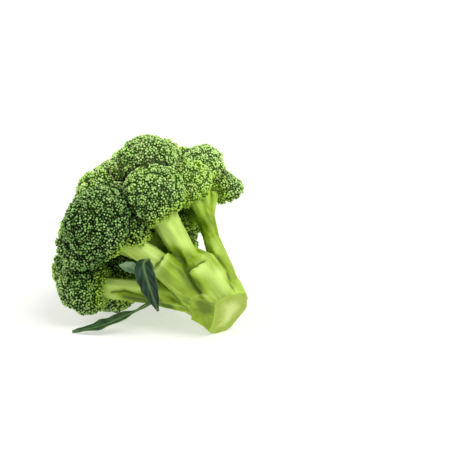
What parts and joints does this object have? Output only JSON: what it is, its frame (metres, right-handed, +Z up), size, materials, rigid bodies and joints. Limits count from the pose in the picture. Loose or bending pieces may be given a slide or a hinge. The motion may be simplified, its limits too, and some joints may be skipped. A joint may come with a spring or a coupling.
{
  "type": "broccoli head",
  "caption": "Fresh head of broccoli lying on its side: a thick branching stalk with a flat cut end, domed florets of small buds, and small leaves.",
  "frame": {"origin": "on the surface that the head lies on, below the middle of its bounding box", "axes": "+Z up from that surface; the stem's cut end points towards +X and -Y, and the crown towards -X and +Y, tilted up"},
  "size_m": [0.1382, 0.131, 0.1302],
  "materials": {
    "stalk_flesh": "moist, smooth living stem skin with fine lengthwise ridges, satin; the cut end is paler and wetter in the middle, with a greener rim",
    "buds": "tight round flower buds, matt with a faint waxy bloom, dark green between and paler at their tips, yellower towards the stalk",
    "leaf_blade": "thin blue-green leaf, waxy and satin, with a pale midrib and veins"
  },
  "bodies": {
    "root": {"stalk": "stalk_flesh", "floret_front": "buds", "floret_front_low": "buds", "floret_front_left": "buds", "floret_top": "buds", "floret_top_left": "buds", "floret_top_front": "buds", "floret_right": "buds", "floret_right_back": "buds", "floret_right_low": "buds", "floret_back_right": "buds", "floret_back": "buds", "floret_back_low": "buds", "floret_under": "buds", "floret_under_top": "buds", "floret_crown_front": "buds", "floret_crown_top": "buds", "floret_crown_right": "buds", "floret_crown_back": "buds", "floret_crown_under": "buds", "leaf_front": "leaf_blade", "leaf_low": "leaf_blade", "leaf_inner": "leaf_blade"}
  },
  "joints": []
}
